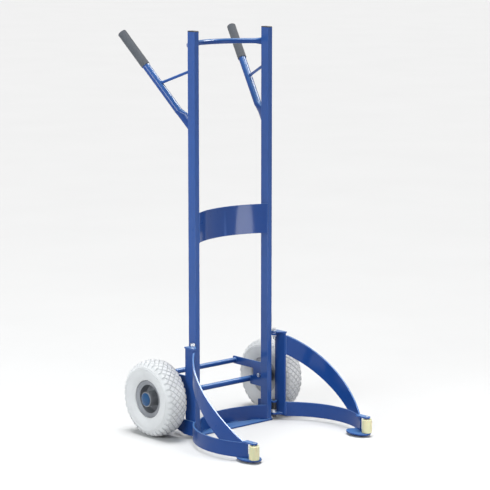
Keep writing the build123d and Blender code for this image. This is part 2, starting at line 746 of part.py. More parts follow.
def arm_bow_sketch():
    """Plan of the bowed flat bars: a ring sector from the post's outer face to the tip."""
    with BuildSketch(mode=Mode.PRIVATE) as plan:
        with Locations((arm_bow_x, arm_bow_y)):
            Circle(arm_bow_outside)
            Circle(arm_bow_inside, mode=Mode.SUBTRACT)
        with BuildLine():
            far = 2 * arm_bow_outside
            Polyline((arm_bow_x, arm_bow_y), (arm_bow_x + far * cos(radians(arm_bow_end)),
                     arm_bow_y + far * sin(radians(arm_bow_end))), (arm_bow_x + far, arm_bow_y + far),
                     (arm_bow_x, arm_bow_y + far), close=True)
        make_face(mode=Mode.INTERSECT)
        with Locations((post_outer, arm_bow_y)):
            Rectangle(far, 2 * far, align=(Align.MIN, Align.CENTER), mode=Mode.INTERSECT)
    return plan.sketch


with BuildPart() as arm_lower_bar:
    with BuildSketch(Plane.XY.offset(bar_bottom)):
        add(arm_bow_sketch())
        with BuildLine():
            Polyline((post_outer, bend_y), (bar_outer, bend_y), (bar_outer, post_back_y),
                     (bar_outer + tail_step_x, tail_end_y), (post_outer + tail_step_x, tail_end_y),
                     (post_outer, post_back_y), close=True)
        make_face()
    extrude(amount=bar_height)
    with BuildSketch(side_plane(0)):
        with BuildLine():
            Polyline((roller_y, bar_bottom), (post_back_y, bar_bottom),
                     (tail_end_y, bar_bottom + tail_drop), (tail_end_y, bar_top - tail_drop),
                     (post_back_y, bar_top), (roller_y, bar_top), close=True)
        make_face()
    extrude(amount=bar_outer + arm_bow_outside, mode=Mode.INTERSECT)
    bend_middle = (bar_outer, bend_y, bar_bottom + bar_height / 2)
    fillet(arm_lower_bar.edges().filter_by(Axis.Z).sort_by_distance(bend_middle)[0], bar_bend)
write_pair(arm_lower_bar, "arm_lower_bar")

# Upper strip: on the same round as the lower bar, sloping from the post down to the tip
strip_toe_y = post_front_y - strip_toe_run
strip_toe_top = bar_top + strip_toe_rise
strip_under_y = post_front_y - strip_under_run
strip_under_top = strip_top_at_post - strip_depth_at_post
with BuildPart() as arm_upper_strip:
    with BuildSketch(Plane.XY.offset(bar_top)):
        add(arm_bow_sketch())
    extrude(amount=strip_top_at_post)
    with BuildSketch(side_plane(0)):
        with BuildLine():
            SagittaArc((strip_toe_y, strip_toe_top), (post_front_y, strip_top_at_post), strip_top_bulge)
            Polyline((post_front_y, strip_top_at_post), (post_back_y, strip_top_at_post),
                     (post_back_y, strip_under_top), (post_front_y, strip_under_top))
            SagittaArc((strip_under_y, bar_top), (post_front_y, strip_under_top), strip_under_bulge)
            Polyline((strip_under_y, bar_top), (strip_toe_y, bar_top), (strip_toe_y, strip_toe_top))
        make_face()
    extrude(amount=bar_outer + arm_bow_outside, mode=Mode.INTERSECT)
write_pair(arm_upper_strip, "arm_upper_strip")

# Arm tip: tab over the roller, oval plate under it, and the pin through all three
support_bottom = bar_bottom - support_thickness
with BuildPart() as roller_tab:
    with BuildSketch(Plane.XY.offset(bar_top)):
        with Locations((tip_x, roller_y)):
            Circle(tab_width / 2)
            Rectangle(tab_width, tab_length - tab_width / 2, align=(Align.CENTER, Align.MIN))
            Circle(roller_pin_diameter / 2 + running_clearance, mode=Mode.SUBTRACT)
    extrude(amount=tab_thickness)
write_pair(roller_tab, "roller_tab")

foot_pin_x = tip_x + foot_pin_offset
foot_pin_y = roller_y + foot_pin_setback
with BuildPart() as roller_support:
    with BuildSketch(Plane.XY.offset(support_bottom)):
        with Locations((tip_x - support_inset, roller_y - support_overlap + support_length / 2)):
            Ellipse(support_width / 2, support_length / 2)
        with Locations((tip_x, roller_y)):
            Circle(roller_pin_diameter / 2 + running_clearance, mode=Mode.SUBTRACT)
        with Locations((foot_pin_x, foot_pin_y)):
            Circle(foot_pin_diameter / 2 + running_clearance, mode=Mode.SUBTRACT)
    extrude(amount=support_thickness)
write_pair(roller_support, "roller_support")

with BuildPart() as roller_pin:
    with BuildSketch(Plane.XY.offset(support_bottom)):
        with Locations((tip_x, roller_y)):
            Circle(roller_pin_diameter / 2)
    extrude(amount=bar_top + tab_thickness - support_bottom)
write_pair(roller_pin, "roller_pin")

with BuildPart() as roller:
    with BuildSketch(Plane.XY.offset(bar_bottom + axial_play)):
        with Locations((tip_x, roller_y)):
            Circle(roller_diameter / 2)
    extrude(amount=roller_height)
    fillet(roller.edges().filter_by(GeomType.CIRCLE), roller_edge)
    with BuildSketch(Plane.XY.offset(bar_bottom)):
        with Locations((tip_x, roller_y)):
            Circle(roller_pin_diameter / 2 + running_clearance)
    extrude(amount=roller_height + 2 * axial_play, mode=Mode.SUBTRACT)
write_pair(roller, "roller")

# Foot pins: small glides that carry the arm tips on the floor
foot_plane = Plane(origin=(foot_pin_x, foot_pin_y, 0), x_dir=(1, 0, 0), z_dir=(0, -1, 0))
with BuildPart() as foot_pin:
    with BuildSketch(foot_plane):
        with BuildLine():
            Polyline((0, 0), (foot_pad_diameter / 2, 0), (foot_pad_diameter / 2, foot_pad_height / 2),
                     (foot_pin_diameter / 2, foot_pad_height), (foot_pin_diameter / 2, bar_bottom),
                     (0, bar_bottom), close=True)
        make_face()
    revolve(axis=Axis((foot_pin_x, foot_pin_y, 0), (0, 0, 1)))
write_pair(foot_pin, "foot_pin")

# Arm springs: torsion coils round the lower hinge bolts, with a straight leg at each end
spring_radius = lower_bolt_diameter / 2 + spring_bolt_gap + spring_wire / 2
spring_bottom = lower_nut_top + spring_end_gap + spring_wire / 2
spring_rise = lower_ear_height - spring_end_gap - spring_wire / 2 - spring_bottom
half_turns = round(2 * spring_turns)
spring_pitch = 2 * spring_rise / half_turns


def coil_point(half_turn):
    """Place and direction of the wire's middle after a number of half turns from the bottom."""
    angle = -180 * half_turn
    place = Vector(hinge_x + spring_radius * cos(radians(angle)),
                   hinge_y + spring_radius * sin(radians(angle)),
                   spring_bottom + spring_pitch * half_turn / 2)
    level = half_turn in (0, half_turns)
    slope = 0 if level else spring_pitch / (radians(360) * spring_radius)
    return place, Vector(sin(radians(angle)), -cos(radians(angle)), slope).normalized()


def biarc_joint(start, start_direction, end, end_direction):
    """The point and direction where two arcs meet that join two directed points."""
    chord = end - start
    turn = start_direction + end_direction
    lead = 2 * (1 - start_direction.dot(end_direction))
    reach = (sqrt(chord.dot(turn) ** 2 + lead * chord.dot(chord)) - chord.dot(turn)) / lead
    first = start + start_direction * reach
    second = end - end_direction * reach
    return (first + second) * 0.5, (second - first).normalized()


with BuildPart() as arm_spring:
    with BuildLine() as coil:
        place, direction = coil_point(0)
        leg_start = place - direction * spring_leg
        Line(leg_start, place)
        for step in range(half_turns):
            next_place, next_direction = coil_point(step + 1)
            joint, joint_direction = biarc_joint(place, direction, next_place, next_direction)
            TangentArc(place, joint, tangent=direction)
            TangentArc(joint, next_place, tangent=joint_direction)
            place, direction = next_place, next_direction
        Line(place, place + direction * spring_leg)
    with BuildSketch(Plane(origin=leg_start, z_dir=coil_point(0)[1])):
        Circle(spring_wire / 2)
    sweep(path=coil.line)
write_pair(arm_spring, "arm_spring")

# Least gap between neighbouring turns of a spring, measured on points along the wire
wire_points = [coil.line @ (index / gap_samples) for index in range(gap_samples + 1)]
half_turn_samples = round(gap_samples / spring_turns / 2)
least_gap = min((near - far).length for index, near in enumerate(wire_points)
                for far in wire_points[index + half_turn_samples:]) - spring_wire
print(f"arm spring: least gap between turns {least_gap:.2f} mm")
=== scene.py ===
"""Tyre trolley: painted steel, foam grips, white puncture-proof wheels and a plain studio."""
import json
import math
import random
from collections import namedtuple

import bmesh
import bpy
from bpy.props import FloatProperty, FloatVectorProperty, IntProperty, PointerProperty
from mathutils import Matrix, Vector


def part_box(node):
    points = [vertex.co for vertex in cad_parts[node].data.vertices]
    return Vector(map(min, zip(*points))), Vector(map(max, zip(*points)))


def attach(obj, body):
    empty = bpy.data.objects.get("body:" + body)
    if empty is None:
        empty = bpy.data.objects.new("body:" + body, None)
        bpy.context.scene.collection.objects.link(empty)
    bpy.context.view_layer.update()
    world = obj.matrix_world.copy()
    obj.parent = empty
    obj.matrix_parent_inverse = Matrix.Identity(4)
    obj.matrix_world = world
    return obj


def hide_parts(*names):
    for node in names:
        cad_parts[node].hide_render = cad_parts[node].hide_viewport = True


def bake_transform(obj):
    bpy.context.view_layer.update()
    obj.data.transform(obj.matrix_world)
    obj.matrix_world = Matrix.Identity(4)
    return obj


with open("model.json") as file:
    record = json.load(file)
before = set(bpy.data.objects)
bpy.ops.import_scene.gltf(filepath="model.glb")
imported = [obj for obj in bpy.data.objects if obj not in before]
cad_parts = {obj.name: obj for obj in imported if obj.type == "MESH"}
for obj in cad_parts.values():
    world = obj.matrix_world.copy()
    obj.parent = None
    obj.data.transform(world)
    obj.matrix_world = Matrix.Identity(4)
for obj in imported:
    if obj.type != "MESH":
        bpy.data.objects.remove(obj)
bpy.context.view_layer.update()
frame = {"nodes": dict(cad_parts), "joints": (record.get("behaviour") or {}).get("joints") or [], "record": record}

bl_info = {
    "name": "Tyre trolley",
    "version": (1, 0, 0),
    "blender": (4, 5, 0),
    "location": "View3D > Sidebar > Trolley",
    "description": "Dresses the packed tyre trolley and sets it in a plain studio",
    "category": "Object",
}

RECORD = frame["record"]
BODY_OF = {node: body for body, nodes in RECORD["behaviour"]["bodies"].items() for node in nodes}
SLOT_OF = {row["node"]: row["material_slot"] for row in RECORD["subparts"]}
# The record has these bolts dark, but their heads are as bright as the nuts
SLOT_OF["upper_hinge_bolts"] = "zinc_steel"
JOINTS = {joint["name"]: joint for joint in frame["joints"]}
SIDES = {"left": -1, "right": 1}

MM = 0.001
FULL_TURN = 2 * math.pi


def mm(*lengths):
    """Lengths in millimetres, as metres."""
    return tuple(length * MM for length in lengths)


def radians(*angles):
    """Angles in degrees, as radians."""
    return tuple(math.radians(angle) for angle in angles)


# Meshes: merging distance, flat and sharp angles, and steps of a rounding and of an oval
MERGE_DISTANCE = 0.002 * MM
FLAT_ANGLE = math.radians(0.3)
SHARP_ANGLE = math.radians(40)
EDGE_SEGMENTS = 3
OVAL_STEPS = 20

# Weld beads: step from drop to drop in radii, spread of their radii, their mesh and their finer size
BEAD_STEP = 0.8
BEAD_SPREAD = (0.85, 1.15)
BEAD_MESH = {"u_segments": 8, "v_segments": 5}
BEAD_CHANCE = random.Random(7)
FINE_BEAD = 0.65

# Stitches between the lower bow and the toe plate, by their angles about the bow's centre
BOW_DEPTH = 50.0 * MM
STITCHES = radians(-27, -9, 9, 27)
STITCH_HALF = math.radians(3.5)
STITCH_STEPS = 3

# Feet on an upright's back: height, half height and half width, for the top bow, handle and brace
FEET = (mm(1305.0, 12.8, 6.8), mm(1047.5, 25.8, 7.0), mm(1222.0, 5.6, 5.2))

# Weld of the right brace on its handle: its centre and its two half diameters
BRACE_HEAD = (mm(194.95, 137.3, 1180.3), mm(4.9, -1.6, 0.0), mm(0.6, 1.8, 4.9))

# Welds of the hinge ears: from and to along the upright's side, and the ears' thickness
EAR_WELD = mm(2.0, 27.0)
EAR_THICKNESS = 6.0 * MM

# Right arm in plan: centre of its bow, radii of its faces, and stretches of two welds round it
ARM_CENTRE = mm(45.7, -220.5)
ARM_FACES = mm(244.5, 250.5)
TOE_TURN = radians(-9, -28)
SUPPORT_TURN = radians(-20, -31)

# Height of the upper strip's lower end on an arm's post
STRIP_FOOT = 231.0 * MM

# Bolts: their radii, how far the thread stands out, its depth in pitches, and its sides
UPPER_BOLT = 4.0 * MM
BRACKET_BOLT = 4.0 * MM
LOWER_BOLT = 5.0 * MM
THREAD_RIDGE = 0.25 * MM
THREAD_DEPTH = 0.55
THREAD_SIDES = 24

# Arm springs: steps in a turn, sides of the wire, radius at the wire's middle, and length of a leg
SPRING_STEPS = 28
WIRE_SIDES = 10
SPRING_RADIUS = 7.4 * MM
SPRING_LEG = 9.0 * MM

# Tip rollers: bore, rounded edge and how far in its middle lies, depth and radii of the dished ends
ROLLER_BORE = 4.3 * MM
ROLLER_EDGE = 2.6 * MM
ROLLER_EDGE_MIDDLE = 0.3 * ROLLER_EDGE
ROLLER_DISH = 0.8 * MM
ROLLER_DISH_RADII = mm(8.0, 9.2)
ROLLER_EDGE_STEPS = 6
ROLLER_STEPS = 72

# Curve of the tread across a tyre
CROWN_RADIUS = 81.3 * MM

# Tyre carcass, as places across it and radii: seat on the rim, side wall, ends of the shoulder slots
BEAD_SEAT = (mm(23.9, 50.9), mm(29.4, 63.8))
SIDE_WALL = (mm(33.5, 63.8), mm(42.5, 93.4), mm(33.0, 123.0))
SLOT_FOOT = mm(39.3, 111.0)
SLOT_TOP = mm(30.3, 122.1)

# Steps of the carcass: up a side wall, across the tread's floor, and round one repeat of the tread
SIDE_STEPS = 64
FLOOR_STEPS = 20
CARCASS_STEPS = 4

# Moulded rings on the side walls: radii, height and width
RINGS = mm(103.0, 108.5)
RING_HEIGHT = 1.5 * MM
RING_WIDTH = 0.9 * MM

# Diamond tread blocks: pitch of the rows, half diagonals, taper, root below the floor and soft edge
ROW_PITCH = 10.5 * MM
BLOCK_HALF = mm(8.8, 9.4)
BLOCK_TAPER = 0.94
BLOCK_ROOT = 1.0 * MM
BLOCK_EDGE = 0.6 * MM

# Shoulder lugs: inner end, outer radius, width as an angle, and place and half sizes of their tips
LUG_START = 29.5 * MM
LUG_EDGE = 122.2 * MM
LUG_TURN = math.radians(6.6)
LUG_STEPS = 3
LUG_TIP = 26.2 * MM
LUG_TIP_HALF = mm(4.6, 7.6)

# Steps round the rims and hub caps
RIM_STEPS = 120
CAP_STEPS = 72

# Paint: how strongly painted highlights pale it on edges and tops, and over which pointiness and upward slope
EDGE_HIGHLIGHT_SHARE = 0.35
EDGE_HIGHLIGHT_POINTINESS = (0.53, 0.60)
TOP_HIGHLIGHT_SHARE = 0.5
TOP_HIGHLIGHT_SLOPE = (0.25, 0.85)

# Studio: the glint only shines on glossy surfaces, and the sky dims from the horizon upwards
LIGHTS = {
    "key": {"spot": (-3.2, -0.5, 1.9), "target": (0.0, 0.0, 0.6), "size": 1.8, "power": 70,
            "colour": (0.90, 0.98, 1.0)},
    "fill": {"spot": (0.3, -1.1, 0.4), "target": (0.0, 0.1, 0.03), "size": 0.5, "power": 4.0},
    "glint": {"spot": (2.6, -0.6, 4.0), "target": (0.0, 0.0, 0.9), "size": 1.6, "power": 180,
              "shine_only": True},
}
SUN_STRENGTH = 4.0
SUN_ANGLE = math.radians(34)
SKY_STRENGTH = (0.79, 0.25)
SKY_HEIGHT = (0.1, 0.6)
FLOOR_RADIUS = 60.0
FLOOR_DROP = 0.2 * MM
FLOOR_SIDES = 96

# Camera of the photograph: lens and sensor in millimetres, place in metres, angles
CAMERA_LENS = 159.31
CAMERA_SENSOR = 36.0
CAMERA_REACH = 200.0
CAMERA_PLACE = (-4.76246, -5.35670, 1.86308)
CAMERA_TURN = radians(90 - 9.75, 0, -41.93)


def colour_property(name, description, default):
    """A colour for the panel."""
    return FloatVectorProperty(
        name=name, description=description, subtype="COLOR", min=0, max=1, default=default)


def length_property(name, description, default):
    """A length for the panel, in metres."""
    return FloatProperty(name=name, description=description, unit="LENGTH", default=default)


class TrolleyColours(bpy.types.PropertyGroup):
    """Colours of the trolley's finishes."""

    paint: colour_property("Paint", "Blue powder coat of the steel", (0.008, 0.044, 0.195))
    # Painted highlight: a paler coat mixed in along edges, standing for light caught by them
    painted_edge_highlight: colour_property("Paint at edges", "Thinner coat on the edges", (0.06, 0.14, 0.40))
    # Painted highlight: a paler coat mixed in on faces that look up, standing for light from above
    painted_top_highlight: colour_property("Paint on top", "Faded coat on faces that look up", (0.12, 0.26, 0.50))
    tyre: colour_property("Tyre", "Non-marking white tyre", (0.545, 0.55, 0.56))
    # Painted shade: a greyer tone for the tread's floor between the blocks
    painted_groove_shade: colour_property("Tread grooves", "Greyer floor of the tread", (0.42, 0.43, 0.44))
    rim: colour_property("Rim", "Grey pressed steel of the rims", (0.26, 0.27, 0.295))
    hub_cap: colour_property("Hub cap", "Glossy blue caps", (0.005, 0.052, 0.145))
    roller: colour_property("Roller", "Ivory nylon of the tip rollers", (0.53, 0.508, 0.315))
    grip: colour_property("Grip", "Dark foam of the handle grips", (0.075, 0.081, 0.093))
    end_cap: colour_property("End cap", "Black plastic of the uprights' ends", (0.018, 0.018, 0.020))
    zinc: colour_property("Zinc", "Bright plated fasteners", (0.66, 0.67, 0.69))
    bearing: colour_property("Bearing", "Ground steel of the bearings", (0.52, 0.52, 0.53))
    blackened: colour_property("Blackened", "Dark steel of springs and bolts", (0.07, 0.07, 0.078))
    floor: colour_property("Floor", "Pale studio floor", (0.56, 0.56, 0.56))


class TrolleySizes(bpy.types.PropertyGroup):
    """Sizes of the trolley's fine forms, in metres."""

    bar_edge: length_property("Bar edge", "Rounding of the flat bars' edges", 0.9 * MM)
    plate_edge: length_property("Plate edge", "Rounding of the plates' edges", 0.6 * MM)
    small_edge: length_property("Small edge", "Rounding of small pieces' edges", 0.3 * MM)
    bead_radius: length_property("Weld bead", "Radius of a weld bead", 2.4 * MM)
    tread_depth: length_property("Tread depth", "Height of the tread blocks", 2.6 * MM)
    tread_repeats: IntProperty(
        name="Tread repeats", description="Blocks in one row round a tyre", default=36, min=12)
    tread_rows: IntProperty(
        name="Tread rows", description="Rows of blocks at each side of the middle one", default=2, min=1)
    thread_pitch: length_property("Thread pitch", "Pitch of the bolts' threads", 1.25 * MM)
    spring_wire: length_property("Spring wire", "Wire diameter of the arm springs", 2.8 * MM)
    spring_turns: FloatProperty(
        name="Spring turns", description="Turns of an arm spring", default=5.5)


def colours():
    """The colours as they are set in the scene."""
    return bpy.context.scene.trolley_colours


def sizes():
    """The sizes as they are set in the scene."""
    return bpy.context.scene.trolley_sizes


# Node trees

Finish = namedtuple("Finish", "material tree shader coordinates")


def place(tree, kind, inputs=None, **settings):
    """Add a node, with its settings and the values of its inputs."""
    node = tree.nodes.new(kind)
    for name, value in settings.items():
        setattr(node, name, value)
    for name, value in (inputs or {}).items():
        node.inputs[name].default_value = value
    return node


def spread(tree, value, low, high, start=0.3, end=0.7):
    """Map a value from start to end, or else the middle of a noise value, to a range."""
    ranged = place(tree, "ShaderNodeMapRange",
                   {"From Min": start, "From Max": end, "To Min": low, "To Max": high})
    tree.links.new(value, ranged.inputs["Value"])
    return ranged.outputs["Result"]


def mix(tree, factor, first, second):
    """Mix two colours, given as values or sockets, by a factor."""
    mixed = place(tree, "ShaderNodeMix", data_type="RGBA")
    tree.links.new(factor, mixed.inputs["Factor"])
    for socket, colour in ((mixed.inputs[6], first), (mixed.inputs[7], second)):
        if isinstance(colour, bpy.types.NodeSocket):
            tree.links.new(colour, socket)
        else:
            socket.default_value = (*colour, 1.0)
    return mixed.outputs[2]


def height_of(tree, output):
    """The Z of the surroundings' direction or of a surface's normal."""
    parts = place(tree, "ShaderNodeSeparateXYZ")
    tree.links.new(place(tree, "ShaderNodeTexCoord").outputs[output], parts.inputs["Vector"])
    return parts.outputs["Z"]


def new_finish(name, **inputs):
    """Start a material whose shader has some constant inputs."""
    material = bpy.data.materials.new(name)
    material.use_nodes = True
    tree = material.node_tree
    shader = tree.nodes["Principled BSDF"]
    for key, value in inputs.items():
        shader.inputs[key.replace("_", " ")].default_value = value
    return Finish(material, tree, shader, place(tree, "ShaderNodeTexCoord").outputs["Object"])


def noise(finish, scale, detail=3.0, stretch=None):
    """Noise of a scale per metre, stretched along an axis if asked."""
    tree, coordinates = finish.tree, finish.coordinates
    texture = place(tree, "ShaderNodeTexNoise", {"Scale": scale, "Detail": detail, "Roughness": 0.55})
    if stretch:
        mapping = place(tree, "ShaderNodeMapping", {"Scale": stretch})
        tree.links.new(coordinates, mapping.inputs["Vector"])
        coordinates = mapping.outputs["Vector"]
    tree.links.new(coordinates, texture.inputs["Vector"])
    return texture.outputs["Fac"]


def shade(base, factor):
    """A colour made lighter or darker by a factor."""
    return tuple(min(1.0, channel * factor) for channel in base)


def mottle(finish, base, scale, dark, light, detail=3.0):
    """A colour that wanders between a darker and a lighter tone of its base."""
    tone = spread(finish.tree, noise(finish, scale, detail), 0.0, 1.0)
    return mix(finish.tree, tone, shade(base, dark), shade(base, light))


def tint(finish, colour):
    """Give a shader its colour."""
    finish.tree.links.new(colour, finish.shader.inputs["Base Color"])


def roughen(finish, scale, low, high):
    """Let a shader's roughness wander between two values."""
    roughness = spread(finish.tree, noise(finish, scale), low, high)
    finish.tree.links.new(roughness, finish.shader.inputs["Roughness"])


def relief(finish, height, strength, depth):
    """Give a shader fine relief from a height value."""
    bump = place(finish.tree, "ShaderNodeBump", {"Strength": strength, "Distance": depth})
    finish.tree.links.new(height, bump.inputs["Height"])
    finish.tree.links.new(bump.outputs["Normal"], finish.shader.inputs["Normal"])


# Finishes

def blue_paint():
    """Satin powder coat: faint orange peel, slow changes of tone, and painted highlights that make it paler on
    edges and tops.
    """
    finish = new_finish(
        "blue_powder_coat", Specular_IOR_Level=0.05, Coat_Weight=0.5, Coat_Roughness=0.1)
    tree = finish.tree
    coat = mottle(finish, colours().paint, scale=5.0, dark=0.93, light=1.07)
    pointiness = place(tree, "ShaderNodeNewGeometry").outputs["Pointiness"]
    # Painted highlight along edges, found by pointiness
    edges = spread(tree, pointiness, 0.0, EDGE_HIGHLIGHT_SHARE, *EDGE_HIGHLIGHT_POINTINESS)
    coat = mix(tree, edges, coat, colours().painted_edge_highlight)
    # Painted highlight on faces that look up, found by the normal's Z
    top_highlight_mask = spread(tree, height_of(tree, "Normal"), 0.0, TOP_HIGHLIGHT_SHARE, *TOP_HIGHLIGHT_SLOPE)
    tint(finish, mix(tree, top_highlight_mask, coat, colours().painted_top_highlight))
    roughen(finish, scale=45.0, low=0.27, high=0.37)
    relief(finish, noise(finish, scale=650.0, detail=2.0), strength=0.10, depth=0.25 * MM)
    return finish.material


def white_rubber():
    """Matte white foam-filled tyre, with painted shade greying the tread's grooves, and faintly mottled."""
    finish = new_finish("white_tyre_rubber", Specular_IOR_Level=0.35)
    skin = mottle(finish, colours().tyre, scale=22.0, dark=0.95, light=1.04, detail=5.0)
    # Painted shade on the tread's floor, from the mask that the carcass marks
    groove_shade_mask = place(finish.tree, "ShaderNodeAttribute", attribute_name="groove_shade_mask").outputs["Fac"]
    tint(finish, mix(finish.tree, groove_shade_mask, skin, colours().painted_groove_shade))
    roughen(finish, scale=90.0, low=0.62, high=0.78)
    relief(finish, noise(finish, scale=1100.0), strength=0.18, depth=0.3 * MM)
    return finish.material


def rim_steel():
    """Grey coated pressed steel with faint clouding."""
    finish = new_finish("grey_rim_steel", Metallic=0.55)
    tint(finish, mottle(finish, colours().rim, scale=30.0, dark=0.82, light=1.15, detail=6.0))
    roughen(finish, scale=120.0, low=0.34, high=0.52)
    relief(finish, noise(finish, scale=700.0), strength=0.12, depth=0.2 * MM)
    return finish.material


def cap_plastic():
    """Glossy blue moulded plastic."""
    finish = new_finish("blue_cap_plastic", Specular_IOR_Level=0.35)
    tint(finish, mottle(finish, colours().hub_cap, scale=60.0, dark=0.92, light=1.08))
    roughen(finish, scale=260.0, low=0.16, high=0.26)
    relief(finish, noise(finish, scale=420.0, detail=2.0), strength=0.06, depth=0.15 * MM)
    return finish.material


def roller_nylon():
    """Ivory nylon with fine turning marks across its height."""
    finish = new_finish("ivory_nylon", Subsurface_Weight=0.15, Subsurface_Scale=1.5 * MM)
    tint(finish, mottle(finish, colours().roller, scale=55.0, dark=0.95, light=1.06, detail=4.0))
    roughen(finish, scale=160.0, low=0.38, high=0.50)
    marks = noise(finish, scale=30.0, detail=4.0, stretch=(1.0, 1.0, 45.0))
    relief(finish, marks, strength=0.15, depth=0.2 * MM)
    return finish.material


def grip_foam():
    """Dark foam with a fine open-cell grain."""
    finish = new_finish("dark_foam", Specular_IOR_Level=0.25, Sheen_Weight=0.15, Sheen_Roughness=0.5)
    tint(finish, mottle(finish, colours().grip, scale=480.0, dark=0.75, light=1.3, detail=4.0))
    roughen(finish, scale=300.0, low=0.78, high=0.92)
    relief(finish, noise(finish, scale=1300.0, detail=4.0), strength=0.45, depth=0.4 * MM)
    return finish.material


def plated_steel(name, base, smoothest, roughest, metallic=1.0):
    """Plated, ground or blackened steel with faint clouding."""
    finish = new_finish(name, Metallic=metallic)
    tint(finish, mottle(finish, base, scale=180.0, dark=0.86, light=1.1, detail=4.0))
    roughen(finish, scale=240.0, low=smoothest, high=roughest)
    relief(finish, noise(finish, scale=900.0, detail=2.0), strength=0.08, depth=0.1 * MM)
    return finish.material


def cap_black():
    """Black moulded plastic of the tube ends."""
    finish = new_finish("black_moulding")
    tint(finish, mottle(finish, colours().end_cap, scale=140.0, dark=0.8, light=1.3))
    roughen(finish, scale=210.0, low=0.45, high=0.58)
    relief(finish, noise(finish, scale=1500.0, detail=2.0), strength=0.2, depth=0.15 * MM)
    return finish.material


FINISHES = {
    "blue_paint": blue_paint,
    "painted_axle": blue_paint,
    "white_tyre": white_rubber,
    "grey_rim": rim_steel,
    "blue_cap": cap_plastic,
    "ivory_nylon": roller_nylon,
    "foam_grip": grip_foam,
    "black_plastic": cap_black,
    "zinc_steel": lambda: plated_steel("bright_zinc", colours().zinc, 0.24, 0.38),
    "bearing_steel": lambda: plated_steel("ground_steel", colours().bearing, 0.20, 0.34),
    "dark_steel": lambda: plated_steel("black_oxide", colours().blackened, 0.32, 0.46, metallic=0.8),
}
MADE = {}


def finish_of(slot):
    """The material of a slot, made once."""
    maker = FINISHES[slot]
    if maker not in MADE:
        MADE[maker] = maker()
    return MADE[maker]


# Meshes

def keep(name, bm, body, slot, replaced=()):
    """Turn a bmesh into a finished piece that rides on a body, or on none."""
    mesh = bpy.data.meshes.new(name)
    bm.to_mesh(mesh)
    bm.free()
    mesh.shade_smooth()
    mesh.set_sharp_from_angle(angle=SHARP_ANGLE)
    mesh.materials.append(finish_of(slot))
    piece = bpy.data.objects.new(name, mesh)
    bpy.context.scene.collection.objects.link(piece)
    even = piece.modifiers.new("even_faces", "WEIGHTED_NORMAL")
    even.weight = 100
    even.keep_sharp = True
    if body:
        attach(piece, body)
    if replaced:
        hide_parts(*replaced)
    return piece


def stand_for(node, name, bm):
    """Finish a piece in place of a solid, on its body and in its material."""
    return keep(name, bm, BODY_OF[node], SLOT_OF[node], [node])


def merged(node):
    """A bmesh of a solid, with its triangles joined into whole faces."""
    bm = bmesh.new()
    bm.from_mesh(frame["nodes"][node].data)
    bmesh.ops.remove_doubles(bm, verts=bm.verts, dist=MERGE_DISTANCE)
    bmesh.ops.dissolve_limit(bm, angle_limit=FLAT_ANGLE, verts=bm.verts, edges=bm.edges)
    return bm


def absorb(bm, part):
    """Add a bmesh to another and free it."""
    mesh = bpy.data.meshes.new("part")
    part.to_mesh(mesh)
    part.free()
    bm.from_mesh(mesh)
    bpy.data.meshes.remove(mesh)


def round_edges(bm, edges, radius, segments):
    """Round some edges of a bmesh."""
    bmesh.ops.bevel(bm, geom=edges, offset=radius, offset_type="OFFSET", affect="EDGES",
                    segments=segments, profile=0.5, clamp_overlap=False, material=-1)


def dress(node, radius=0.0):
    """Replace a solid by a copy with an even finish, and with its sharp edges rounded if asked."""
    bm = merged(node)
    if radius:
        paired = [edge for edge in bm.edges if len(edge.link_faces) == 2]
        sharp = [edge for edge in paired if edge.calc_face_angle() > SHARP_ANGLE]
        round_edges(bm, sharp, radius, EDGE_SEGMENTS)
    stand_for(node, f"{node}_dressed", bm)


def turn(bm, outline, centre, axis, steps, closed=True):
    """Turn an outline of (along, radius) pairs about an axis."""
    axis = Vector(axis).normalized()
    side = axis.orthogonal().normalized()
    ring = [bm.verts.new(Vector(centre) + axis * along + side * radius) for along, radius in outline]
    pairs = list(zip(ring, ring[1:]))
    if closed:
        pairs.append((ring[-1], ring[0]))
    edges = [bm.edges.new(pair) for pair in pairs]
    bmesh.ops.spin(bm, geom=ring + edges, cent=centre, axis=axis, angle=FULL_TURN, steps=steps,
                   use_merge=True)
    bmesh.ops.remove_doubles(bm, verts=bm.verts, dist=MERGE_DISTANCE)
    bmesh.ops.recalc_face_normals(bm, faces=bm.faces)


def arc(start, middle, end, count):
    """Points along the arc through three points of an outline."""
    (ax, ay), (bx, by), (cx, cy) = start, middle, end
    det = 2 * (ax * (by - cy) + bx * (cy - ay) + cx * (ay - by))
    squares = (ax**2 + ay**2, bx**2 + by**2, cx**2 + cy**2)
    ox = (squares[0] * (by - cy) + squares[1] * (cy - ay) + squares[2] * (ay - by)) / det
    oy = (squares[0] * (cx - bx) + squares[1] * (ax - cx) + squares[2] * (bx - ax)) / det
    radius = math.hypot(ax - ox, ay - oy)
    first, via, last = (math.atan2(y - oy, x - ox) for x, y in (start, middle, end))
    sweep = (last - first) % FULL_TURN
    if (via - first) % FULL_TURN > sweep:
        sweep -= FULL_TURN
    angles = (first + sweep * step / count for step in range(count + 1))
    return [(ox + radius * math.cos(a), oy + radius * math.sin(a)) for a in angles]


def oval(centre, across, up, start=0.0, end=FULL_TURN, steps=OVAL_STEPS):
    """Points along an oval, from its centre and its two half diameters."""
    angles = (start + (end - start) * step / steps for step in range(steps + 1))
    return [Vector(centre) + math.cos(a) * Vector(across) + math.sin(a) * Vector(up) for a in angles]


def thread(bm, start, axis, radius, length):
    """Thread ridges on a bolt's tail, from start along axis."""
    depth = THREAD_DEPTH * sizes().thread_pitch
    turns = max(1, round(length / sizes().thread_pitch))
    outline = [(0, 0), (0, radius - depth)]
    for step in range(turns):
        outline.append(((step + 0.5) * length / turns, radius))
        outline.append(((step + 1) * length / turns, radius - depth))
    outline.append((length, 0))
    turn(bm, outline, start, axis, THREAD_SIDES, closed=False)


